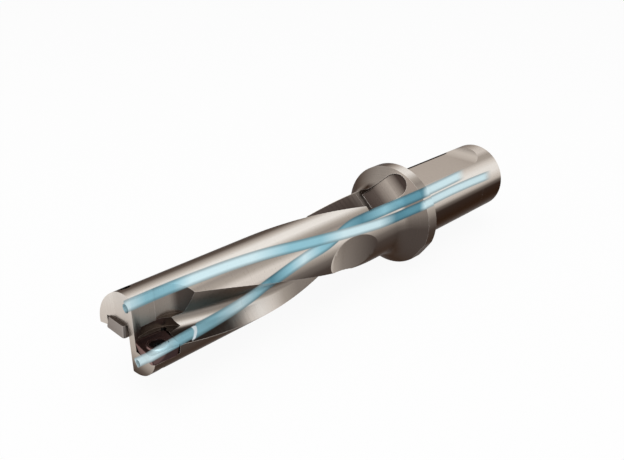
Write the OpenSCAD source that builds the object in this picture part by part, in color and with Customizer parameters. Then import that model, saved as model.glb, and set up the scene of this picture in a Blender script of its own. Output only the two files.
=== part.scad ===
// Indexable drill with two helical flutes, through coolant and two screwed-on inserts.
// All sizes are in millimetres. The drill lies along X: the cutting end points to -X,
// the shank to +X, and the origin is the middle of the flange's contact face.

/* [Body] */

// Diameter of the fluted body
body_d = 23; // [21:0.5:28]

// Length from the flange's contact face to the cutting end face
reach = 108.5; // [96:0.5:150]

// Diameter of the flange
flange_d = 35; // [32:0.5:46]

// Length of the flange's cylindrical rim
flange_t = 5; // [3:0.5:9]

// Radius of the hollow between the body and the flange's sloped front
flange_fillet = 8; // [4:0.5:12]

// Depth of the flat on the side of the flange
flange_flat = 0.5; // [0.2:0.1:1.5]

// Small break on the flange's edges
flange_break = 0.4; // [0.2:0.1:1]

/* [Shank] */

// Diameter of the parallel shank
shank_d = 25; // [20:0.5:32]

// Length of the shank behind the contact face
shank_len = 51; // [46:1:70]

// Height of the shank over its clamping flat
shank_flat_h = 22.6; // [18:0.1:31]

// Length of the clamping flat
shank_flat_len = 43; // [20:1:44]

// Radius of the cutter that runs out of the clamping flat
shank_flat_r = 12; // [6:1:20]

// Chamfer at the shank's end
shank_chamfer = 1.2; // [0.5:0.1:3]

// Relief of the shank's radius behind the clamping length
shank_relief = 0.02; // [0.01:0.005:0.03]

/* [Flutes] */

// Turn of the flutes for each millimetre of length, in degrees
flute_turn = 1.4; // [0.9:0.05:1.8]

// Distance from the axis to a flute's steep wall
flute_wall = 3.6; // [3:0.1:4.5]

// Height of a flute's floor above the axis
flute_floor = 0.7; // [0.3:0.1:1.2]

// Radius of the hollow between a flute's wall and its floor
flute_hollow = 3.6; // [2:0.1:5]

// Radius of the slot in which a flute rises out of the body
exit_r = 4.3; // [3:0.1:5]

// Height of that slot's end above the flange's rim
exit_z = 1.5; // [0.5:0.1:4]

// Distance of the slot's end from the axis
exit_out = 11.6; // [10:0.1:13]

// Shift of the slot towards the middle of the flute
exit_side = 5; // [3.5:0.1:7]

// Slope of the slot's floor against the drill's cross section
exit_slope = 39; // [30:1:50]

// Radius of the hollow that relieves the land beside a flute's end
relief_r = 30; // [20:1:40]

// Depth of that hollow
relief_depth = 2; // [0.8:0.1:2.6]

// Distance from the contact face to the middle of the hollow
relief_z = 35; // [30:1:44]

/* [Tip] */

// Distance from the axis to the flat wall beside the outer insert
outer_wall = 2.7; // [2.3:0.1:3.4]

// Length of that flat wall
outer_wall_len = 6.5; // [5:0.5:10]

// Radius of the cutter that leads from the flat wall to the flute
outer_wall_r = 9; // [6:0.5:12]

// Distance from the axis to the flat wall beside the inner insert
inner_wall = 0.9; // [0.7:0.1:1.6]

// Height of the ledge round the outer insert, over its top face
ledge_h = 0.6; // [0.2:0.1:1]

// Width of the ledge beside the outer insert
ledge_w = 1.3; // [0.4:0.1:1.6]

// Radius of the ledge round the outer insert
ledge_r = 8.5; // [7:0.5:11]

// Height of the raised lip at the far edge of the end face
lip_h = 1.5; // [0.5:0.1:2]

// Width of the raised lip
lip_w = 6; // [3:0.5:7]

/* [Coolant] */

// Diameter of the coolant channels
channel_d = 2.6; // [1.6:0.1:3]

// Diameter of the nozzle at the end of the outer insert's channel
nozzle_d = 2; // [1.2:0.1:2.6]

// Length of that nozzle
nozzle_len = 15; // [8:1:24]

// Distance of the straight channels from the axis
channel_pitch = 6.3; // [5:0.1:7]

// Diameter of the coolant inlet in the shank's end
inlet_d = 16; // [15:0.5:18]

// Depth of the coolant inlet
inlet_depth = 6; // [3:0.5:12]

/* [Inserts] */

// Side of a square insert
insert_s = 8.4; // [7.4:0.1:9]

// Thickness of an insert
insert_t = 3.2; // [2.6:0.1:3.6]

// Corner radius of an insert
insert_r = 0.8; // [0.4:0.1:1.2]

// Relief angle of an insert's sides
insert_relief = 9; // [5:1:12]

// How far the outer insert stands out of the body's side
outer_overhang = 0.25; // [0.1:0.05:0.6]

// How far the outer insert stands out of the end face
outer_proud = 1.1; // [0.4:0.1:1.4]

// Turn of the outer insert, which lets its outer corner lead, in degrees
outer_turn = 6; // [0:1:10]

// Distance from the axis to the inner insert's edge, where a thin core breaks off by itself
inner_off = 0.3; // [0.1:0.05:0.6]

// How far the inner insert stands out of the end face
inner_proud = 1.5; // [0.5:0.1:1.8]

// Distance of the outer insert's top face below the axis
outer_drop = 1; // [0.6:0.1:1.4]

// Distance of the inner insert's top face from the axis
inner_drop = 0.9; // [0.5:0.1:2]

// Gap between an insert and its pocket's walls
seat_gap = 0.06; // [0.03:0.01:0.15]

/* [Screws] */

// Diameter of an insert screw
screw_d = 2.5; // [2:0.1:3]

// Diameter of a screw's head
head_d = 4.2; // [3.6:0.1:4.6]

// Length of a screw
screw_len = 5.8; // [5:0.1:7]

// Gap between a screw and its threaded hole
thread_gap = 0.04; // [0.02:0.01:0.1]

// Distance of a screw's head below the insert's top face
head_sink = 0.35; // [0.2:0.05:0.6]

// Diameter of the inner screw hole where it leaves the body's side
hole_exit_d = 3.4; // [3:0.1:5]

// Size of the six-lobe socket, over its lobes
socket_d = 2.1; // [1.6:0.1:2.4]

/* [Hidden] */

$fn = 96;
e = 0.01;
far = 40;
body_r = body_d / 2;
exit_len = (exit_out - flute_wall) / cos(exit_slope);
straight_from = flange_t + exit_z + exit_len * sin(exit_slope);
flute_lead = 2.3;
flute_from = straight_from + flute_lead;
flute_past = 3;
flute_out = max(body_r, flange_d / 2) + 3;
flute_steps = 56;
outer_half = insert_s / 2 * (cos(outer_turn) + sin(outer_turn));
outer_y = -(body_r + outer_overhang - outer_half);
outer_z = reach + outer_proud - outer_half;
inner_y = insert_s / 2 + inner_off;
inner_z = reach + inner_proud - insert_s / 2;
head_h = (head_d - screw_d) / 2 / tan(30);
shank_flat_x = shank_flat_h - shank_d / 2;
shank_flat_end = shank_flat_len - shank_flat_r / 2;
wall_foot = flute_floor + flute_hollow / 2;
nozzle_from = reach - nozzle_len;

// Turn of the flutes at height z, counted from the end face
function turn(z) = flute_turn * (z - reach);

// Point at radius r and angle a, with a counted from the top towards the near side
function at(r, a, z) = [r * cos(a), -r * sin(a), z];

// One section of a flute at height z
function flute_ring(z) =
    let (w = flute_wall, f = flute_floor, h = flute_hollow,
         p = concat([[f, -flute_out], [flute_out, -flute_out], [flute_out, -w], [(flute_out + f + h) / 2, -w]],
                    [for (a = [90:15:180]) [f + h + h * cos(a), -w - h + h * sin(a)]],
                    [[f, -(flute_out + w + h) / 2]]),
         t = turn(z))
    [for (q = p) [q[0] * cos(t) - q[1] * sin(t), q[0] * sin(t) + q[1] * cos(t), z]];

// Heights of the flute's sections, evenly spaced from its straight stretch out past the end face
flute_heights = [for (i = [0:flute_steps]) flute_from + (reach + flute_past - flute_from) * i / flute_steps];

// Courses of the two channels: share of the height above the flange, angle, distance from the axis
outer_course = [[0, 268, 0], [0.06, 258, 0.3], [0.3, 222, 1], [0.43, 212, 1], [0.6, 206, 1],
                [0.76, 194, 1], [0.88, 180, 1.2], [0.95, 170, 1.6], [1, 158, 1.8]];
inner_course = [[0, 88, 0], [0.12, 68, 0.6], [0.27, 46, 1], [0.42, 32, 1], [0.52, 26, 1],
                [0.65, 22, 1], [0.8, 17, 1], [0.92, 6, 1.1], [1, -3, 1.2]];

function course(list, col, u) = lookup(u, [for (p = list) [p[0], p[col]]]);
function smooth_course(list, col, u) =
    (course(list, col, u - 0.05) + course(list, col, u) * 2 + course(list, col, u + 0.05)) / 4;

// Closes a list of equal rings into a solid
module skin(rings) {
    n = len(rings[0]);
    m = len(rings);
    polyhedron(
        points = [for (r = rings) each r],
        faces = concat(
            [[for (i = [0:n - 1]) i]],
            [for (k = [0:m - 2], i = [0:n - 1])
                let (a = k * n + i, b = k * n + (i + 1) % n)
                each [[a, a + n, b + n], [a, b + n, b]]],
            [[for (i = [n - 1:-1:0]) (m - 1) * n + i]]),
        convexity = 8);
}

// Puts a shape drawn with its top face in z = 0 on the outer insert's place
module on_outer() {
    translate([-outer_drop, outer_y, outer_z]) rotate([0, 90, 0]) rotate(-outer_turn) children();
}

// Puts a shape drawn with its top face in z = 0 on the inner insert's place
module on_inner() {
    translate([-inner_drop, inner_y, inner_z]) rotate([0, -90, 0]) children();
}

// Lays the drill down: its axis along X, its upper side to +Z
module lay() {
    rotate([0, -90, 0]) children();
}

// Square with rounded corners
module rounded_square(s, r) {
    hull() for (x = [-1, 1], y = [-1, 1]) translate([x * (s / 2 - r), y * (s / 2 - r)]) circle(r, $fn = 24);
}

// Turned blank: body, flange with its sloped front, and shank in one outline
module blank() {
    rear_r = shank_d / 2 - shank_relief;
    face_r = flange_d / 2 - flange_break;
    slope_r = body_r + flange_fillet * (1 - cos(45));
    slope_z = flange_t + face_r - slope_r;
    hollow_z = slope_z + flange_fillet * sin(45);
    rotate_extrude() {
        polygon([
            [0, -shank_len], [rear_r - shank_chamfer, -shank_len], [rear_r, -shank_len + shank_chamfer],
            [rear_r, -shank_flat_end], [shank_d / 2, -shank_flat_end], [shank_d / 2, 0],
            [flange_d / 2 - flange_break, 0], [flange_d / 2, flange_break],
            [flange_d / 2, flange_t - flange_break], [face_r, flange_t],
            [body_r, flange_t], [body_r, reach + lip_h], [0, reach + lip_h]]);
        difference() {
            polygon([[body_r / 2, flange_t], [face_r, flange_t], [slope_r, slope_z],
                     [body_r, hollow_z], [body_r / 2, hollow_z]]);
            translate([body_r + flange_fillet, hollow_z]) circle(flange_fillet);
        }
    }
}

// Helical part of one flute
module flute() {
    skin([for (z = flute_heights) flute_ring(z)]);
}

// Short straight stretch at the end of one flute
module flute_end() {
    overlap = 0.4;
    deeper = 0.12;
    rotate(turn(flute_from)) translate([flute_floor - deeper, -far - flute_wall + deeper, straight_from])
        cube([far, far, flute_from + overlap - straight_from]);
}

// Slot in which the cutter rose out of one flute into the flange's front
module flute_exit() {
    overlap = 0.3;
    rotate(turn(flute_from)) translate([exit_side, -exit_out, flange_t + exit_z]) rotate([exit_slope, 0, 0])
        linear_extrude(far) {
            circle(exit_r);
            translate([-exit_r, 0]) square([2 * exit_r, exit_len + overlap]);
        }
}

// Relief beside a flute's end: a shallow hollow on the land
module relief() {
    place = 93;
    translate(at(body_r + relief_r - relief_depth, place, relief_z)) sphere(relief_r);
}

// Straight wall and run-out beside the outer insert, with the ledge round the insert
module outer_chip_pocket() {
    z0 = reach - outer_wall_len;
    step = 0.6;
    lean = 0.6;
    ledge_back = 1.1;
    translate([wall_foot, -outer_wall - far, z0]) cube([far, far, far]);
    intersection() {
        translate([0, step - outer_wall - outer_wall_r, z0 - 1]) rotate([0, 90, 0]) cylinder(r = outer_wall_r, h = far);
        translate([wall_foot, -far, 0]) cube([far, far, z0 + e]);
    }
    translate([ledge_h - outer_drop, outer_y + insert_s / 2 + ledge_w - ledge_r, outer_z - ledge_back])
        rotate([0, 90, 0]) cylinder(r1 = ledge_r, r2 = ledge_r - lean, h = wall_foot + outer_drop - ledge_h + e);
}

// Straight wall beside the inner insert
module inner_chip_pocket() {
    z0 = reach - outer_wall_len;
    translate([-far - flute_floor, inner_wall, z0]) cube([far, far, far]);
    intersection() {
        translate([-far - flute_floor, inner_wall + outer_wall_r, z0]) rotate([0, 90, 0])
            cylinder(r = outer_wall_r, h = far);
        translate([-far, 0, 0]) cube([far, far, z0 + e]);
    }
}

// Seat of an insert whose top face is in z = 0, open to the front (f = -1 or 1) and maybe to one side
module seat(f, out) {
    w = insert_s + 2 * seat_gap;
    corner_r = 0.8;
    corner_in = 0.3;
    corner_up = 0.6;
    translate([f < 0 ? -w / 2 - far : -w / 2, -w / 2 - out, -insert_t]) cube([w + far, w + out, insert_t + far]);
    for (y = out > 0 ? [1] : [-1, 1])
        translate([-f * (w / 2 - corner_in), y * (w / 2 - corner_in), -insert_t])
            cylinder(r = corner_r, h = insert_t + corner_up, $fn = 48);
}

// Threaded hole of an insert screw, below an insert whose top face is in z = 0
module screw_hole(depth) {
    translate([0, 0, -depth]) cylinder(d = screw_d + 2 * thread_gap, h = depth, $fn = 48);
}

// Coolant channel along its course, from the flange to the end face
module channel(list, nozzle, side) {
    below = 2;
    past = 1;
    z0 = flange_t - below;
    steps = 30;
    translate([0, -side * channel_pitch, -shank_len - past])
        cylinder(d = channel_d, h = shank_len + past + z0 + e, $fn = 48);
    skin([for (i = [0:steps])
        let (z = z0 + (reach + lip_h + past - z0) * i / steps, u = (z - z0) / (reach - z0),
             r = channel_pitch + smooth_course(list, 2, u), c = at(r, smooth_course(list, 1, u), z),
             d = nozzle && z > nozzle_from ? nozzle_d : channel_d)
        [for (k = [0:11]) [c[0] + d / 2 * cos(30 * k), c[1] + d / 2 * sin(30 * k), z]]]);
}

// Turned body with its end face, coolant inlet, straight bores and flats
module turned_body() {
    past = 1;
    flat_turn = -125;
    flat_len = flange_t + flange_break;
    difference() {
        blank();
        translate([-far, -far, reach]) cube([2 * far, far + body_r - lip_w, far]);
        translate([0, body_r - lip_w, reach]) rotate([atan2(lip_h, lip_w), 0, 0])
            translate([-far, 0, 0]) cube([2 * far, far, far]);
        translate([0, 0, -shank_len - past]) cylinder(d = inlet_d, h = inlet_depth + past);
        translate([shank_flat_x, -far, -shank_flat_end]) cube([far, 2 * far, shank_flat_end]);
        translate([shank_flat_x + shank_flat_r, 0, -shank_flat_end]) rotate([90, 0, 0])
            cylinder(r = shank_flat_r, h = 2 * far, center = true);
        rotate(flat_turn) translate([flange_d / 2 - flange_flat, -far / 2, -past]) cube([far, far, flat_len + past]);
    }
}

// The same body with its two flutes and their reliefs
module fluted_body() {
    difference() {
        difference() {
            difference() {
                difference() {
                    turned_body();
                    flute_exit();
                    rotate(180) flute_exit();
                }
                flute_end();
                rotate(180) flute_end();
            }
            flute();
            rotate(180) flute();
        }
        relief();
        rotate(180) relief();
    }
}

// Steel body: one turned and milled piece
module drill_body() {
    run_out = 1;
    lap = 0.2;
    color("#8f8880") lay() difference() {
        difference() {
            difference() {
                fluted_body();
                outer_chip_pocket();
                inner_chip_pocket();
            }
            on_outer() seat(-1, far);
            on_inner() seat(1, 0);
            on_outer() screw_hole(body_d);
            on_inner() screw_hole(screw_len + run_out);
            on_inner() translate([0, 0, -body_d])
                cylinder(d = hole_exit_d, h = body_d - screw_len - run_out + lap, $fn = 48);
        }
        channel(outer_course, true, -1);
        channel(inner_course, false, 1);
    }
}

// Carbide insert with a chip groove round its middle, its top face in z = 0
module insert() {
    s2 = insert_s - 2 * insert_t * tan(insert_relief);
    edge_h = 0.3;
    groove_rim = 0.7;
    groove_in = 1.8;
    boss_foot = 2.6;
    boss_rim = 0.8;
    boss_from = 1;
    past = 0.2;
    hole_gap = 0.3;
    difference() {
        hull() {
            translate([0, 0, -edge_h]) linear_extrude(edge_h) rounded_square(insert_s, insert_r);
            translate([0, 0, -insert_t]) linear_extrude(e) rounded_square(s2, insert_r);
        }
        difference() {
            hull() {
                translate([0, 0, -edge_h]) linear_extrude(e) rounded_square(insert_s - groove_in, insert_r);
                linear_extrude(past / 2) rounded_square(insert_s - groove_rim, insert_r);
            }
            translate([0, 0, -boss_from])
                cylinder(d1 = head_d + boss_foot, d2 = head_d + boss_rim, h = boss_from + past, $fn = 64);
        }
        translate([0, 0, -head_sink - head_h]) cylinder(d1 = screw_d, d2 = head_d, h = head_h, $fn = 64);
        translate([0, 0, -head_sink]) cylinder(d = head_d, h = head_sink + past, $fn = 64);
        translate([0, 0, -insert_t - past])
            cylinder(d = screw_d + hole_gap, h = insert_t + past - head_sink - head_h / 2, $fn = 64);
    }
}

// Countersunk screw with a six-lobe socket, in the place of an insert whose top face is in z = 0
module insert_screw() {
    point = 0.3;
    socket_deep = 1.1;
    core = 0.74;
    lobe_at = 0.36;
    lobe = 0.28;
    translate([0, 0, -head_sink]) difference() {
        rotate_extrude($fn = 64) polygon([
            [0, 0], [head_d / 2, 0], [screw_d / 2, -head_h], [screw_d / 2, -screw_len + point],
            [screw_d / 2 - point, -screw_len], [0, -screw_len]]);
        translate([0, 0, -socket_deep]) linear_extrude(2 * socket_deep) {
            circle(d = socket_d * core, $fn = 32);
            for (k = [0:5])
                rotate(60 * k) translate([socket_d * lobe_at, 0]) circle(d = socket_d * lobe, $fn = 24);
        }
    }
}

module outer_insert() {
    color("#5a4a4c") lay() on_outer() insert();
}

module inner_insert() {
    color("#9c9794") lay() on_inner() insert();
}

module outer_insert_screw() {
    color("#2e2c30") lay() on_outer() insert_screw();
}

module inner_insert_screw() {
    color("#2e2c30") lay() on_inner() insert_screw();
}

drill_body();
outer_insert();
inner_insert();
outer_insert_screw();
inner_insert_screw();
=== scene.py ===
# %% [markdown]
# # An indexable drill, dressed in Blender
# The drill was built as solids in CAD: a steel body with two helical flutes, two square carbide
# inserts and their screws. Here those solids get their finishes, a camera and light. The frame is
# loaded first, because every piece takes its place and size from it. All lengths are in metres.

# %% Load the solids
import math

import bpy
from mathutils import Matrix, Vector


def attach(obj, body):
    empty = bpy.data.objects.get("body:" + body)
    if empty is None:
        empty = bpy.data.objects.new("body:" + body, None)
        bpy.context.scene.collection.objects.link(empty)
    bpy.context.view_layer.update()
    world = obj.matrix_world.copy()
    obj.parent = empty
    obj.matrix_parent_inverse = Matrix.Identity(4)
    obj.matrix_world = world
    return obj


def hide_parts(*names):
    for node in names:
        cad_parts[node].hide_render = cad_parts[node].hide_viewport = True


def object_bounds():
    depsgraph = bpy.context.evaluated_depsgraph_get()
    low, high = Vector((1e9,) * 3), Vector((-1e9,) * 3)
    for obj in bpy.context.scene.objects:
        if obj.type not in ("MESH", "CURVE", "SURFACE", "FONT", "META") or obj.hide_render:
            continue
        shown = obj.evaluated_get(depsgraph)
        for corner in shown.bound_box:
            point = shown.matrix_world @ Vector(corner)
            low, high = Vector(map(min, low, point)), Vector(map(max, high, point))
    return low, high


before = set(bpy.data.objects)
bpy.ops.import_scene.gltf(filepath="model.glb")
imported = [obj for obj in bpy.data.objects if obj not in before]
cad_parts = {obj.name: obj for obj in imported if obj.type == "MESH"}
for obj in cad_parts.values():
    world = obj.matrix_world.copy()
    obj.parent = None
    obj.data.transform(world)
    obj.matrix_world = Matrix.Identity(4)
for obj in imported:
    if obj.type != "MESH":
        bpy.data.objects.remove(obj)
cad_box = [list(map(float, corner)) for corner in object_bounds()]
MM = 0.001
print("solids:", sorted(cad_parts))
print("box of the solids:", cad_box)

# %% [markdown]
# ## Camera
# The picture looks down on the drill from the front left, with the cutting end nearest. A camera can
# be placed by hand, but here its distance and angles were worked out from the drill's outline, so the
# proportions of the near and the far end come out right.

# %% Camera
PICTURE_WIDTH = 624
FOCAL_PIXELS = 687.19
SENSOR_WIDTH = 36
CAMERA_TURN = math.radians(-45.54)
CAMERA_RISE = math.radians(25.36)
CAMERA_AIM = Vector((-0.04253, 0, 0.00684))
CAMERA_DISTANCE = 0.21329

to_camera = Vector((math.sin(CAMERA_TURN) * math.cos(CAMERA_RISE),
                    -math.cos(CAMERA_TURN) * math.cos(CAMERA_RISE), math.sin(CAMERA_RISE)))
bpy.ops.object.camera_add(location=CAMERA_AIM + CAMERA_DISTANCE * to_camera,
                          rotation=to_camera.to_track_quat("Z", "Y").to_euler())
camera = bpy.context.object
camera.data.sensor_width = SENSOR_WIDTH
camera.data.lens = SENSOR_WIDTH * FOCAL_PIXELS / PICTURE_WIDTH
camera.data.clip_start = 0.01
bpy.context.scene.camera = camera
bpy.context.scene.view_settings.view_transform = "Standard"
print("camera at", [round(v, 4) for v in camera.location], "lens", round(camera.data.lens, 2))

# %% [markdown]
# ## Floor, background and light
# The drill lies on a pale floor that fades into white. The floor and the world show white to the
# camera and in reflections, and the lamps stay at a plain level, so that the paint on the surfaces
# renders about as it is written. The floor keeps a faint shadow.

# %% Node helpers
def put(tree, kind, **values):
    """Adds a node and sets its properties."""
    node = tree.nodes.new(kind)
    for name, value in values.items():
        setattr(node, name, value)
    return node


def plug(tree, socket, value):
    """Sets an input to a number or colour, or links another node's output to it."""
    if isinstance(value, bpy.types.NodeSocket):
        tree.links.new(value, socket)
    else:
        socket.default_value = value


def calc(tree, operation, first, second=0.0, clamp=False):
    """One Math node."""
    node = put(tree, "ShaderNodeMath", operation=operation, use_clamp=clamp)
    plug(tree, node.inputs[0], first)
    plug(tree, node.inputs[1], second)
    return node.outputs[0]


def times(tree, first, *others):
    """The product of several values."""
    for other in others:
        first = calc(tree, "MULTIPLY", first, other)
    return first


def ramp_range(tree, value, low, high, to_low=0.0, to_high=1.0, smooth=True):
    """One Map Range node, clamped."""
    node = put(tree, "ShaderNodeMapRange", interpolation_type="SMOOTHSTEP" if smooth else "LINEAR")
    for socket, number in zip(node.inputs[:5], (value, low, high, to_low, to_high)):
        plug(tree, socket, number)
    return node.outputs[0]


def blend(tree, share, first, second, how="MIX"):
    """One colour Mix node."""
    node = put(tree, "ShaderNodeMix", data_type="RGBA", blend_type=how)
    plug(tree, node.inputs[0], share)
    plug(tree, node.inputs[6], first)
    plug(tree, node.inputs[7], second)
    return node.outputs[2]


def tone(red, green, blue):
    """A colour as a picture editor shows it, 0 to 255, made linear."""
    def linear(part):
        part = part / 255
        return part / 12.92 if part <= 0.04045 else ((part + 0.055) / 1.055) ** 2.4
    return (linear(red), linear(green), linear(blue), 1.0)


def colour_ramp(tree, value, stops):
    """One Color Ramp node from a list of (place, colour)."""
    node = put(tree, "ShaderNodeValToRGB")
    plug(tree, node.inputs[0], value)
    elements = node.color_ramp.elements
    elements[0].position, elements[0].color = stops[0]
    elements[1].position, elements[1].color = stops[-1]
    for place, colour in stops[1:-1]:
        elements.new(place).color = colour
    return node.outputs[0]


def seen_directly(tree):
    """Is 1 for rays of the camera and of reflections."""
    path = put(tree, "ShaderNodeLightPath")
    seen = calc(tree, "MAXIMUM", path.outputs["Is Camera Ray"], path.outputs["Is Glossy Ray"])
    return calc(tree, "MAXIMUM", seen, path.outputs["Is Transmission Ray"])


# %% Floor, world and lamps
WHITE = (1.0, 1.0, 1.0, 1.0)
FLOOR_COLOUR = (0.9, 0.9, 0.9, 1.0)
FLOOR_GLOW = 0.93
AMBIENT = 0.55

bpy.ops.object.select_all(action="DESELECT")
bpy.ops.mesh.primitive_plane_add(size=6, location=(0, 0, cad_box[0][2]))
floor = bpy.context.object
floor.name = "floor"
bpy.ops.object.transform_apply(location=True)
floor_paint = bpy.data.materials.new("pale floor")
floor_paint.use_nodes = True
tree = floor_paint.node_tree
tree.nodes.clear()
matt = put(tree, "ShaderNodeBsdfDiffuse")
matt.inputs["Color"].default_value = FLOOR_COLOUR
glow = put(tree, "ShaderNodeEmission")
glow.inputs["Color"].default_value = WHITE
glow.inputs["Strength"].default_value = 1.0
mixed = put(tree, "ShaderNodeMixShader")
plug(tree, mixed.inputs[0], times(tree, seen_directly(tree), FLOOR_GLOW))
tree.links.new(matt.outputs[0], mixed.inputs[1])
tree.links.new(glow.outputs[0], mixed.inputs[2])
tree.links.new(mixed.outputs[0], put(tree, "ShaderNodeOutputMaterial").inputs["Surface"])
floor.data.materials.append(floor_paint)

world = bpy.data.worlds.new("studio")
bpy.context.scene.world = world
world.use_nodes = True
tree = world.node_tree
tree.nodes.clear()
dim = put(tree, "ShaderNodeBackground")
dim.inputs["Color"].default_value = WHITE
dim.inputs["Strength"].default_value = AMBIENT
bright = put(tree, "ShaderNodeBackground")
bright.inputs["Color"].default_value = WHITE
bright.inputs["Strength"].default_value = 1.0
mixed = put(tree, "ShaderNodeMixShader")
plug(tree, mixed.inputs[0], seen_directly(tree))
tree.links.new(dim.outputs[0], mixed.inputs[1])
tree.links.new(bright.outputs[0], mixed.inputs[2])
tree.links.new(mixed.outputs[0], put(tree, "ShaderNodeOutputWorld").inputs["Surface"])

LAMPS = [("key lamp", (-0.25, -0.15, 0.75), 0.9, 3.4), ("fill lamp", (-0.55, -0.6, 0.35), 0.7, 0.9)]
for title, place, size, power in LAMPS:
    aim = (CAMERA_AIM - Vector(place)).to_track_quat("-Z", "Y").to_euler()
    bpy.ops.object.light_add(type="AREA", location=place, rotation=aim)
    lamp = bpy.context.object
    lamp.name = title
    lamp.data.size = size
    lamp.data.energy = power
print("floor at", round(cad_box[0][2], 4), "lamps:", [row[0] for row in LAMPS])

# %% [markdown]
# ## Painted light and shade of the plated steel
# Plated steel shows the studio in bands: a bright strip along the top, a second one on the near side,
# and a dark brown underside. A mirror finish would take those bands from dark and bright cards round
# the object. Under plain white light they are painted instead, by the direction in which the surface
# faces, so they stay on the part from every side. The angle is counted round the drill's axis.

# %% Group: painted light and shade of the steel
def new_group(title, outputs):
    """An empty shader node group with named outputs."""
    group = bpy.data.node_groups.new(title, "ShaderNodeTree")
    for name, kind in outputs:
        group.interface.new_socket(name=name, in_out="OUTPUT", socket_type=kind)
    return group, put(group, "NodeGroupOutput")


# Tones of the steel as it is lit and shaded, used for the painted light and shade below.
STEEL_LIGHT_AND_SHADE = {"glint": tone(232, 226, 219), "bright": tone(214, 205, 196), "pale": tone(194, 184, 174),
         "warm": tone(168, 158, 148), "middle": tone(140, 131, 123), "dim": tone(112, 103, 96),
         "dark": tone(76, 67, 62), "deep": tone(56, 47, 43), "black": tone(18, 14, 13)}


def round_stops(rows):
    """Turns rows of (angle in degrees, name of a painted steel tone) into ramp stops over one full turn.
    """
    return [((angle + 180) / 360, STEEL_LIGHT_AND_SHADE[name]) for angle, name in rows]


LAND_BANDS = [(-180, "deep"), (-125, "dark"), (-84, "warm"), (-68, "bright"), (-50, "warm"),
              (-34, "middle"), (-21, "deep"), (-8, "dim"), (3, "pale"), (11, "glint"), (20, "glint"),
              (30, "warm"), (37, "middle"), (46, "warm"), (53, "bright"), (62, "bright"), (70, "warm"),
              (80, "dim"), (92, "dark"), (125, "dark"), (180, "deep")]
SHANK_BANDS = [(-180, "deep"), (-120, "deep"), (-95, "dim"), (-80, "warm"), (-60, "bright"),
               (-45, "middle"), (-25, "middle"), (0, "pale"), (10, "bright"), (20, "bright"),
               (29, "warm"), (36, "warm"), (44, "bright"), (52, "glint"), (61, "glint"), (69, "bright"),
               (75, "pale"), (80, "dim"), (86, "deep"), (105, "deep"), (130, "dark"), (180, "deep")]
FLUTE_BANDS = [(-180, "deep"), (-130, "dark"), (-100, "dim"), (-72, "warm"), (-55, "middle"),
               (-38, "deep"), (-15, "deep"), (0, "dim"), (12, "dark"), (20, "dark"), (35, "dark"),
               (41, "middle"), (47, "bright"), (54, "glint"), (62, "bright"), (70, "warm"),
               (80, "middle"), (92, "middle"), (104, "dim"), (120, "dim"), (145, "dark"), (180, "deep")]
FRONT_BANDS = [(-180, "deep"), (-70, "deep"), (-42, "dim"), (-15, "middle"), (5, "middle"), (32, "dim"),
               (72, "dim"), (90, "dark"), (150, "dark"), (180, "deep")]
REAR_SHADE = STEEL_LIGHT_AND_SHADE["dim"]
END_FACE_LIGHT_BY_HEIGHT = [(0.0, STEEL_LIGHT_AND_SHADE["dark"]), (0.1, STEEL_LIGHT_AND_SHADE["dim"]), (0.2, STEEL_LIGHT_AND_SHADE["warm"]), (0.3, STEEL_LIGHT_AND_SHADE["pale"]),
                  (0.7, STEEL_LIGHT_AND_SHADE["bright"]), (1.0, STEEL_LIGHT_AND_SHADE["glint"])]
END_FACE_X = (-107.3 * MM, -107.8 * MM)
BODY_RADIUS = 11.5
FLUTE_RADIUS = 11.3 * MM
FLUTE_FADE = 0.12 * MM
FLUTE_STOP_X = (-1 * MM, -2 * MM)
FLUTE_END_X = (-34 * MM, -22 * MM)
FLUTE_END_SHADE = 0.6
SHANK_X = (-0.2 * MM, 0.0)
FLAT_EDGE = 7.365 * MM
FLAT_FAR_SHADE_WIDTH = 1.2 * MM
SLOT_FACING = (-0.7771, -0.4088, 0.4785)
SLOT_DISTANCE = 12.351 * MM
SLOT_X = (-13.5 * MM, -5.0 * MM)
SLOT_SHADING = [(0.0, STEEL_LIGHT_AND_SHADE["deep"]), (0.35, STEEL_LIGHT_AND_SHADE["dark"]), (0.5, STEEL_LIGHT_AND_SHADE["dim"]), (0.72, STEEL_LIGHT_AND_SHADE["middle"]),
              (0.86, STEEL_LIGHT_AND_SHADE["dim"]), (1.0, STEEL_LIGHT_AND_SHADE["deep"])]
RELIEF_CENTRE = (-35 * MM, -39.446 * MM, -2.067 * MM)
RELIEF_RADIUS = 30 * MM
RELIEF_X = (-45 * MM, -25 * MM)
RELIEF_SHADING = [(0.0, STEEL_LIGHT_AND_SHADE["pale"]), (0.3, STEEL_LIGHT_AND_SHADE["middle"]), (0.65, STEEL_LIGHT_AND_SHADE["dim"]), (1.0, STEEL_LIGHT_AND_SHADE["dark"])]

steel_painted_light, result = new_group("steel with painted light and shade",
                               [("Color", "NodeSocketColor"), ("Value", "NodeSocketFloat")])
place = put(steel_painted_light, "ShaderNodeTexCoord")
facing = put(steel_painted_light, "ShaderNodeSeparateXYZ")
steel_painted_light.links.new(place.outputs["Normal"], facing.inputs[0])
spot = put(steel_painted_light, "ShaderNodeSeparateXYZ")
steel_painted_light.links.new(place.outputs["Object"], spot.inputs[0])
nx, ny, nz = facing.outputs
x, y, z = spot.outputs
turn = calc(steel_painted_light, "ARCTAN2", times(steel_painted_light, ny, -1.0), nz)
turn = ramp_range(steel_painted_light, turn, -math.pi, math.pi, smooth=False)
land, shank, flute, front = (colour_ramp(steel_painted_light, turn, round_stops(bands))
                             for bands in (LAND_BANDS, SHANK_BANDS, FLUTE_BANDS, FRONT_BANDS))
from_axis = calc(steel_painted_light, "ADD", times(steel_painted_light, y, y), times(steel_painted_light, z, z))
from_axis = calc(steel_painted_light, "SQRT", from_axis)
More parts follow.
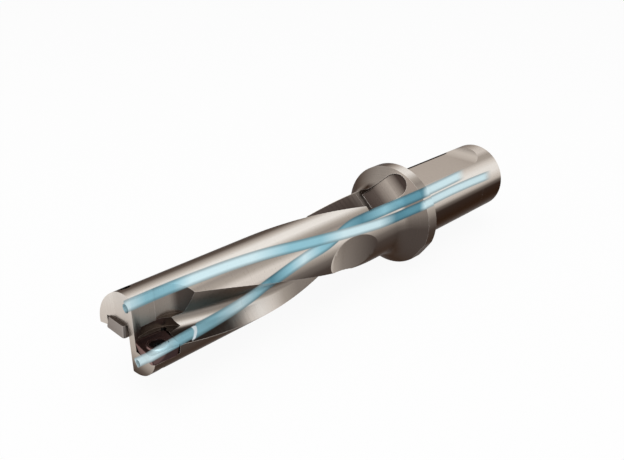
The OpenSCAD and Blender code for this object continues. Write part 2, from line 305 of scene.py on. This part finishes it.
in_flute = times(steel_painted_light, ramp_range(steel_painted_light, from_axis, FLUTE_RADIUS + FLUTE_FADE, FLUTE_RADIUS),
                 ramp_range(steel_painted_light, x, *FLUTE_STOP_X))
# Towards the flange the flutes are painted darker: painted shade deep in the flute.
flute_end_shade_share = times(steel_painted_light, ramp_range(steel_painted_light, x, *FLUTE_END_X), FLUTE_END_SHADE)
flute = blend(steel_painted_light, flute_end_shade_share, flute, STEEL_LIGHT_AND_SHADE["deep"])
colour = blend(steel_painted_light, in_flute, land, flute)
colour = blend(steel_painted_light, ramp_range(steel_painted_light, x, *SHANK_X), colour, shank)
colour = blend(steel_painted_light, ramp_range(steel_painted_light, nx, -0.35, -0.62), colour, front)
# Faces turned towards the shank end are painted a dim shade.
colour = blend(steel_painted_light, ramp_range(steel_painted_light, nx, 0.5, 0.8), colour, REAR_SHADE)
# The cutting end's face is painted from dark at its bottom to glinting at its top: painted light from
# above.
on_end = times(steel_painted_light, ramp_range(steel_painted_light, nx, -0.6, -0.85), ramp_range(steel_painted_light, x, *END_FACE_X))
up_the_end = ramp_range(steel_painted_light, z, -BODY_RADIUS * MM, BODY_RADIUS * MM, smooth=False)
colour = blend(steel_painted_light, on_end, colour, colour_ramp(steel_painted_light, up_the_end, END_FACE_LIGHT_BY_HEIGHT))
# A black strip along the far edge of the shank's flat is a painted dark reflection where the flat turns
# over.
on_far_edge_shade = times(steel_painted_light, ramp_range(steel_painted_light, x, 0.0, 1 * MM),
                    ramp_range(steel_painted_light, nz, 0.97, 0.99),
                    ramp_range(steel_painted_light, y, FLAT_EDGE - FLAT_FAR_SHADE_WIDTH, FLAT_EDGE - FLAT_FAR_SHADE_WIDTH / 2))
colour = blend(steel_painted_light, on_far_edge_shade, colour, STEEL_LIGHT_AND_SHADE["black"])
print("bands round the axis:", len(LAND_BANDS), len(SHANK_BANDS), len(FLUTE_BANDS), len(FRONT_BANDS))

# %% [markdown]
# Two milled places get painted shade of their own: the slot in which each flute rises into the flange,
# darker towards both ends as painted shade, and the shallow hollow on the land beside it, painted from
# pale to dark along the axis. The slot's floor is flat, so its points are known by their distance along
# its own direction; the hollow is part of a ball, so its points are known by their distance from the
# ball's middle. Both exist twice, half a turn apart.

# %% Painted shade of the slots and the hollows
CLOSE = 0.06 * MM
RELIEF_FROM_AXIS = (FLUTE_RADIUS - 1.9 * MM, FLUTE_RADIUS - 1.8 * MM)


def near(tree, value, wanted):
    """Is 1 where a length is the wanted one."""
    off = calc(tree, "ABSOLUTE", calc(tree, "SUBTRACT", value, wanted))
    return ramp_range(tree, off, 2 * CLOSE, CLOSE)


def turned(vector, half_turn):
    """The vector, or the same one half a turn round the axis."""
    return (vector[0], vector[1] * half_turn, vector[2] * half_turn)


slot_shading = colour_ramp(steel_painted_light, ramp_range(steel_painted_light, x, *SLOT_X, smooth=False), SLOT_SHADING)
relief_shading = colour_ramp(steel_painted_light, ramp_range(steel_painted_light, x, *RELIEF_X, smooth=False), RELIEF_SHADING)
for half_turn in (1, -1):
    along_slot = put(steel_painted_light, "ShaderNodeVectorMath", operation="DOT_PRODUCT")
    steel_painted_light.links.new(place.outputs["Object"], along_slot.inputs[0])
    along_slot.inputs[1].default_value = turned(SLOT_FACING, half_turn)
    on_slot = times(steel_painted_light, near(steel_painted_light, along_slot.outputs["Value"], SLOT_DISTANCE),
                    ramp_range(steel_painted_light, nx, -0.72, -0.76))
    colour = blend(steel_painted_light, on_slot, colour, slot_shading)
    to_middle = put(steel_painted_light, "ShaderNodeVectorMath", operation="DISTANCE")
    steel_painted_light.links.new(place.outputs["Object"], to_middle.inputs[0])
    to_middle.inputs[1].default_value = turned(RELIEF_CENTRE, half_turn)
    on_relief = times(steel_painted_light, near(steel_painted_light, to_middle.outputs["Value"], RELIEF_RADIUS),
                      ramp_range(steel_painted_light, from_axis, *RELIEF_FROM_AXIS))
    colour = blend(steel_painted_light, on_relief, colour, relief_shading)
grey = put(steel_painted_light, "ShaderNodeRGBToBW")
steel_painted_light.links.new(colour, grey.inputs[0])
steel_painted_light.links.new(colour, result.inputs["Color"])
steel_painted_light.links.new(grey.outputs[0], result.inputs["Value"])

# %% [markdown]
# ## Marks of the machining
# The shank and the lands were ground, which leaves very fine rings round the axis, and the milled
# flutes have a soft grain. One noise runs along the axis only and makes the rings, a second one is
# the grain. Their sum varies the colour and the roughness a little and feeds a faint bump.

# %% Group: machining marks
RINGS_PER_METRE = 5200
GRAIN_PER_METRE = 2600
RING_SHARE = 0.6

machined, result = new_group("machining marks", [("Marks", "NodeSocketFloat")])
place = put(machined, "ShaderNodeTexCoord")
spot = put(machined, "ShaderNodeSeparateXYZ")
machined.links.new(place.outputs["Object"], spot.inputs[0])
rings = put(machined, "ShaderNodeTexNoise", noise_dimensions="1D")
plug(machined, rings.inputs["W"], spot.outputs[0])
rings.inputs["Scale"].default_value = RINGS_PER_METRE
rings.inputs["Detail"].default_value = 3.0
grain = put(machined, "ShaderNodeTexNoise")
machined.links.new(place.outputs["Object"], grain.inputs["Vector"])
grain.inputs["Scale"].default_value = GRAIN_PER_METRE
grain.inputs["Detail"].default_value = 2.0
marks = calc(machined, "ADD", times(machined, rings.outputs["Fac"], RING_SHARE),
             times(machined, grain.outputs["Fac"], 1.0 - RING_SHARE))
machined.links.new(marks, result.inputs["Marks"])

# %% [markdown]
# ## Worn and highlit edges
# Edges of a tool that has been handled are bright, because the plating is rubbed off there; the
# lightening along them is also a painted highlight, as edges catch the light. A Bevel node rounds the
# surface's direction near an edge. Where that differs from the plain direction, the surface is close to
# an edge.

# %% Group: worn and highlit edges
EDGE_WIDTH = 0.22 * MM

wear_and_highlight, result = new_group("rubbed and highlit edges", [("Edge", "NodeSocketFloat")])
rounded = put(wear_and_highlight, "ShaderNodeBevel", samples=4)
rounded.inputs["Radius"].default_value = EDGE_WIDTH
plain = put(wear_and_highlight, "ShaderNodeNewGeometry")
likeness = put(wear_and_highlight, "ShaderNodeVectorMath", operation="DOT_PRODUCT")
wear_and_highlight.links.new(rounded.outputs[0], likeness.inputs[0])
wear_and_highlight.links.new(plain.outputs["Normal"], likeness.inputs[1])
wear_and_highlight.links.new(ramp_range(wear_and_highlight, likeness.outputs["Value"], 0.985, 0.86), result.inputs["Edge"])

# %% [markdown]
# ## Course of the coolant channels
# The body has two bores for coolant, from the shank to the tip. The picture shows them as blue tubes
# through the steel. The bores are real holes in the solids; their course is painted on the surface
# in pale blue, as on a cutaway drawing, laid on from the front left like a stencil. Two directions
# across the stencil give each point a place along and a height. A curve says how high the middle of
# a tube runs, and the distance from it gives the tube's round shading.

# %% Group: coolant tubes
ALONG = (0.70041, -0.71374, 0.0)
HIGH = (0.30570, 0.29999, 0.90363)
LAID_FROM = (-0.64496, -0.63292, 0.42830)
NEAR_SIDE = (0.0, -0.82818, 0.56046)
NEAR_DEPTH = (-2.0 * MM, -1.2 * MM)
TIP_DEPTH = (-3.6 * MM, -3.0 * MM)
TIP_X = (-99 * MM, -100 * MM)
ALONG_RANGE = (-80 * MM, 40 * MM)
HIGH_RANGE = (-46 * MM, 20 * MM)
MOUTH_X = (-105 * MM, -105.5 * MM)
UPPER_WIDTH = 1.75 * MM
LOWER_WIDTHS = (1.55 * MM, 1.95 * MM)
UPPER_ENDS = (-76.8, 39.2)
LOWER_ENDS = (-76.6, 26.8)
START_FADE = 0.8
END_FADE = 4.5
RIM_SHADE = 0.42
NOZZLE_ALONG = (-60.6 * MM, -60.2 * MM)
RING_ALONG = -60.1 * MM
RING_BEND = 0.5 * MM
RING_FADE = (0.42 * MM, 0.2 * MM)

UPPER_TUBE = [(-75, -25.4), (-60, -19.2), (-45, -14.1), (-30, -10.5), (-15, -6.7), (-5, -3.7), (5, 0.4),
              (22, 8), (38, 14.3)]
LOWER_TUBE = [(-75, -41), (-66, -36), (-54, -30), (-48, -26.5), (-42, -22), (-31, -14.5), (-25, -11),
              (-18, -5.5), (-14, -3.5), (-8, -1), (5, 4.5), (25, 13.5)]
WATER = {"white": tone(226, 240, 246), "clear": tone(200, 224, 230), "blue": tone(138, 186, 200),
         "teal": tone(80, 130, 146)}
# Along its length each tube is painted in light and shade: clear where the steel around it is lit, blue
# and teal where it lies in shade, darkest in the flange.
UPPER_SHADE_ALONG = [(-78, "blue"), (-75, "clear"), (-71, "blue"), (-65, "blue"), (-61, "clear"),
                 (-46, "clear"), (-36, "blue"), (-27, "blue"), (-20, "clear"), (-8, "clear"),
                 (-2, "teal"), (6, "teal"), (8, "clear"), (38, "clear")]
LOWER_SHADE_ALONG = [(-75, "clear"), (-68, "clear"), (-63, "blue"), (-56, "blue"), (-50, "clear"),
                 (-45, "blue"), (-41, "teal"), (-36, "blue"), (-32, "clear"), (-27, "blue"),
                 (-14, "teal"), (-6, "blue"), (1, "teal"), (7, "teal"), (9, "clear"), (26, "clear")]


def share(value, span):
    """The place of a length in millimetres in a span, from 0 to 1."""
    return (value * MM - span[0]) / (span[1] - span[0])


def tube(group, along, high, course, colours, half_width, ends, in_bore):
    """Mask and colour of one tube from its course, and the place across it from -1 to 1."""
    curve = put(group, "ShaderNodeFloatCurve")
    group.links.new(ramp_range(group, along, *ALONG_RANGE, smooth=False), curve.inputs["Value"])
    points = curve.mapping.curves[0].points
    points[0].location = (share(course[0][0], ALONG_RANGE), share(course[0][1], HIGH_RANGE))
    points[1].location = (share(course[-1][0], ALONG_RANGE), share(course[-1][1], HIGH_RANGE))
    for far_along, far_up in course[1:-1]:
        points.new(share(far_along, ALONG_RANGE), share(far_up, HIGH_RANGE))
    curve.mapping.update()
    middle = ramp_range(group, curve.outputs[0], 0.0, 1.0, *HIGH_RANGE, smooth=False)
    across = calc(group, "DIVIDE", calc(group, "SUBTRACT", high, middle), half_width)
    size = calc(group, "ABSOLUTE", across)
    mask = ramp_range(group, size, 1.08, 0.82)
    begun = ramp_range(group, along, ends[0] * MM, (ends[0] + START_FADE) * MM)
    not_over = ramp_range(group, along, ends[1] * MM, (ends[1] - END_FADE) * MM)
    mask = times(group, mask, calc(group, "MAXIMUM", begun, in_bore), not_over)
    tint_and_shade = colour_ramp(group, ramp_range(group, along, *ALONG_RANGE, smooth=False),
                      [(share(far, ALONG_RANGE), WATER[name]) for far, name in colours])
    shade = ramp_range(group, size, 0.3, 1.0, 1.0, RIM_SHADE)
    return mask, blend(group, 1.0, tint_and_shade, shade, "MULTIPLY"), across


coolant, result = new_group("course of the coolant",
                            [("Mask", "NodeSocketFloat"), ("Color", "NodeSocketColor")])
place = put(coolant, "ShaderNodeTexCoord")
measures = []
for direction in (ALONG, HIGH, LAID_FROM, NEAR_SIDE):
    dot = put(coolant, "ShaderNodeVectorMath", operation="DOT_PRODUCT")
    coolant.links.new(place.outputs["Normal" if direction is LAID_FROM else "Object"], dot.inputs[0])
    dot.inputs[1].default_value = direction
    measures.append(dot.outputs["Value"])
along, high, towards, depth = measures
tip = put(coolant, "ShaderNodeSeparateXYZ")
coolant.links.new(place.outputs["Object"], tip.inputs[0])
front = put(coolant, "ShaderNodeSeparateXYZ")
coolant.links.new(place.outputs["Normal"], front.inputs[0])
in_bore = times(coolant, ramp_range(coolant, tip.outputs[0], *MOUTH_X),
                ramp_range(coolant, front.outputs[0], -0.7, -0.4))
nozzle = ramp_range(coolant, along, *NOZZLE_ALONG, *LOWER_WIDTHS)
low_mask, low_colour, low_across = tube(coolant, along, high, LOWER_TUBE, LOWER_SHADE_ALONG, nozzle,
                                        LOWER_ENDS, in_bore)
up_mask, up_colour, _ = tube(coolant, along, high, UPPER_TUBE, UPPER_SHADE_ALONG, UPPER_WIDTH,
                             UPPER_ENDS, in_bore)
lean = times(coolant, low_across, RING_BEND)
bulge = times(coolant, low_across, low_across, RING_BEND)
ring = calc(coolant, "ADD", along, calc(coolant, "ADD", lean, bulge))
ring = calc(coolant, "ABSOLUTE", calc(coolant, "SUBTRACT", ring, RING_ALONG))
low_colour = blend(coolant, ramp_range(coolant, ring, *RING_FADE), low_colour, WATER["white"])
colour = blend(coolant, up_mask, low_colour, up_colour)
shown = calc(coolant, "MAXIMUM", ramp_range(coolant, towards, 0.0, 0.1), in_bore)
at_tip = times(coolant, ramp_range(coolant, tip.outputs[0], *TIP_X),
               ramp_range(coolant, depth, *TIP_DEPTH))
near_side = calc(coolant, "MAXIMUM", ramp_range(coolant, depth, *NEAR_DEPTH), at_tip)
mask = times(coolant, calc(coolant, "MAXIMUM", low_mask, up_mask), times(coolant, shown, near_side))
coolant.links.new(mask, result.inputs["Mask"])
coolant.links.new(colour, result.inputs["Color"])
print("courses:", len(UPPER_TUBE), "and", len(LOWER_TUBE), "points")

# %% [markdown]
# ## Finishes
# Every finish is a metal in a Principled BSDF. The groups above give its colour, with its painted light,
# shade and highlit edges, and its roughness and bump; the painted coolant course also glows faintly as
# painted light. The numbers that are the same all over a surface are set on the shader itself.

# %% Finishes
def use(tree, group):
    """Places a group in a material and gives its outputs."""
    node = put(tree, "ShaderNodeGroup")
    node.node_tree = group
    return node.outputs


BLACK = (0.0, 0.0, 0.0, 1.0)
EDGE_TINT = (0.45, 0.41, 0.39, 1.0)
COOLANT_METAL = 0.25
COOLANT_GLOW = 0.08
ROUGHNESS_SPREAD = 0.06
MARK_DEPTH = 0.02 * MM
MARK_RANGE = (0.3, 0.7)


def metal(title, roughness, tint=None, edge_colour=WHITE, edge_share=0.3, mark_share=0.14, bump=0.08):
    """A metal finish. A tint of two colours, shaded and lit, has the painted light and shade run between
    them; without, it is the steel's painted light and shade.
    """
    paint = bpy.data.materials.new(title)
    paint.use_nodes = True
    tree = paint.node_tree
    shader = tree.nodes["Principled BSDF"]
    lit_steel = use(tree, steel_painted_light)
    marks = use(tree, machined)["Marks"]
    colour = lit_steel["Color"] if tint is None else blend(tree, lit_steel["Value"], *tint)
    speck = ramp_range(tree, marks, *MARK_RANGE, 1.0 - mark_share / 2, 1.0 + mark_share / 2, smooth=False)
    colour = blend(tree, 1.0, colour, speck, "MULTIPLY")
    edge = times(tree, use(tree, wear_and_highlight)["Edge"], edge_share)
    colour = blend(tree, edge, colour, edge_colour)
    course = use(tree, coolant)
    colour = blend(tree, course["Mask"], colour, course["Color"])
    tree.links.new(colour, shader.inputs["Base Color"])
    plug(tree, shader.inputs["Metallic"],
         ramp_range(tree, course["Mask"], 0.0, 1.0, 1.0, COOLANT_METAL, smooth=False))
    # The painted coolant course glows faintly: painted light.
    plug(tree, shader.inputs["Emission Color"], blend(tree, course["Mask"], BLACK, course["Color"]))
    shader.inputs["Emission Strength"].default_value = COOLANT_GLOW
    shader.inputs["Specular Tint"].default_value = EDGE_TINT
    plug(tree, shader.inputs["Roughness"],
         ramp_range(tree, marks, *MARK_RANGE, roughness - ROUGHNESS_SPREAD, roughness + ROUGHNESS_SPREAD,
                    smooth=False))
    relief = put(tree, "ShaderNodeBump")
    relief.inputs["Strength"].default_value = bump
    relief.inputs["Distance"].default_value = MARK_DEPTH
    tree.links.new(marks, relief.inputs["Height"])
    tree.links.new(relief.outputs[0], shader.inputs["Normal"])
    return paint


# Each tint pair runs from the finish's shaded to its lit colour; the edge colour is that of the rubbed and
# highlit edges.
plated_steel = metal("plated steel", 0.32, edge_colour=tone(232, 224, 217), edge_share=0.45)
dark_carbide = metal("dark coated carbide", 0.36, (tone(34, 24, 25), tone(196, 160, 156)),
                     tone(170, 140, 136), 0.6)
grey_carbide = metal("grey coated carbide", 0.36, (tone(46, 39, 36), tone(196, 187, 180)),
                     tone(206, 199, 194), 0.45)
black_screw = metal("black oxide screw", 0.4, (tone(12, 10, 11), tone(92, 84, 84)),
                    tone(96, 88, 88), 0.4)
print("finishes:", [paint.name for paint in (plated_steel, dark_carbide, grey_carbide, black_screw)])

# %% [markdown]
# ## Dressed solids
# The solids come in as loose triangles, which shade in facets. A copy of each solid is merged and
# smoothed by angle, so that the flutes and the round parts shade softly while the machined edges stay
# crisp. Its shape and size don't change, and it stands for the solid.

# %% Dressed solids
SMOOTH_ANGLE = math.radians(32)
MERGE_DISTANCE = 0.0005 * MM
FINISHES = {"drill_body": ("body_steel", plated_steel), "outer_insert": ("outer_carbide", dark_carbide),
            "inner_insert": ("inner_carbide", grey_carbide),
            "outer_insert_screw": ("screw_steel", black_screw),
            "inner_insert_screw": ("screw_steel", black_screw)}

for node, (slot, finish) in FINISHES.items():
    piece = bpy.data.objects.new("dressed_" + node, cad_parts[node].data.copy())
    bpy.context.collection.objects.link(piece)
    bpy.ops.object.select_all(action="DESELECT")
    piece.select_set(True)
    bpy.context.view_layer.objects.active = piece
    if piece.data.has_custom_normals:
        bpy.ops.mesh.customdata_custom_splitnormals_clear()
    bpy.ops.object.mode_set(mode="EDIT")
    bpy.ops.mesh.select_all(action="SELECT")
    bpy.ops.mesh.remove_doubles(threshold=MERGE_DISTANCE)
    bpy.ops.object.mode_set(mode="OBJECT")
    bpy.ops.object.shade_smooth_by_angle(angle=SMOOTH_ANGLE)
    piece.data.materials.clear()
    piece.data.materials.append(finish)
    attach(piece, "root")
    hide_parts(node)
    print(piece.name, len(piece.data.polygons), "faces")

# %% [markdown]
# The flutes are cut in small flat steps, which would show as ripples in a bright metal. The true
# surface is a helix: each point has turned with its distance from the tip. So the direction of the
# surface is worked out there from the flute's section and its turn, and kept with the mesh as custom
# normals. The lands and the shank are cylinders, and their direction points away from the axis.

# %% True directions on the round and helical faces
REACH = 108.5
TURN_PER_MM = math.radians(1.4)
FLUTE_WALL = 3.6
FLUTE_FLOOR = 0.7
FLUTE_HOLLOW = 3.6
FLUTE_START = 15.3
SHANK_RADII = (12.5, 12.48)
TOLERANCE = 0.05
ALIKE = 0.93


def flute_side(u, v):
    """Direction out of the metal on one flute's section, or None off the section."""
    middle_u, middle_v = FLUTE_FLOOR + FLUTE_HOLLOW, -FLUTE_WALL - FLUTE_HOLLOW
    if v <= middle_v and abs(u - FLUTE_FLOOR) < TOLERANCE:
        return Vector((1, 0))
    if u >= middle_u and abs(v + FLUTE_WALL) < TOLERANCE:
        return Vector((0, -1))
    if u < middle_u and v > middle_v:
        inward = Vector((middle_u - u, middle_v - v))
        if abs(inward.length - FLUTE_HOLLOW) < 2 * TOLERANCE:
            return inward.normalized()
    return None


def true_direction(point, plain):
    """Direction of the true surface at a point given in millimetres, x up, y away and z to the tip."""
    radius = math.hypot(point.x, point.y)
    if point.z > FLUTE_START:
        for half_turn in (0, math.pi):
            angle = TURN_PER_MM * (point.z - REACH) + half_turn
            cosine, sine = math.cos(angle), math.sin(angle)
            u, v = point.x * cosine + point.y * sine, point.y * cosine - point.x * sine
            side = flute_side(u, v)
            if side is not None:
                rise = -TURN_PER_MM * (side.y * u - side.x * v)
                guess = Vector((side.x * cosine - side.y * sine, side.x * sine + side.y * cosine, rise))
                guess.normalize()
                if guess.dot(plain) > ALIKE:
                    return guess
    round_here = abs(radius - BODY_RADIUS) < TOLERANCE and point.z > FLUTE_START
    round_here = round_here or point.z < 0 and min(abs(radius - r) for r in SHANK_RADII) < TOLERANCE / 5
    if round_here:
        guess = Vector((point.x / radius, point.y / radius, 0))
        if guess.dot(plain) > ALIKE:
            return guess
    return plain


body = bpy.data.objects["dressed_drill_body"].data
directions, changed = [], 0
for loop, corner in zip(body.loops, body.corner_normals):
    at = body.vertices[loop.vertex_index].co / MM
    plain = Vector((corner.vector.z, corner.vector.y, -corner.vector.x))
    true = true_direction(Vector((at.z, at.y, -at.x)), plain)
    changed += true is not plain
    directions.append((-true.z, true.y, true.x))
body.normals_split_custom_set(directions)
print("corners with a true direction:", changed, "of", len(directions))
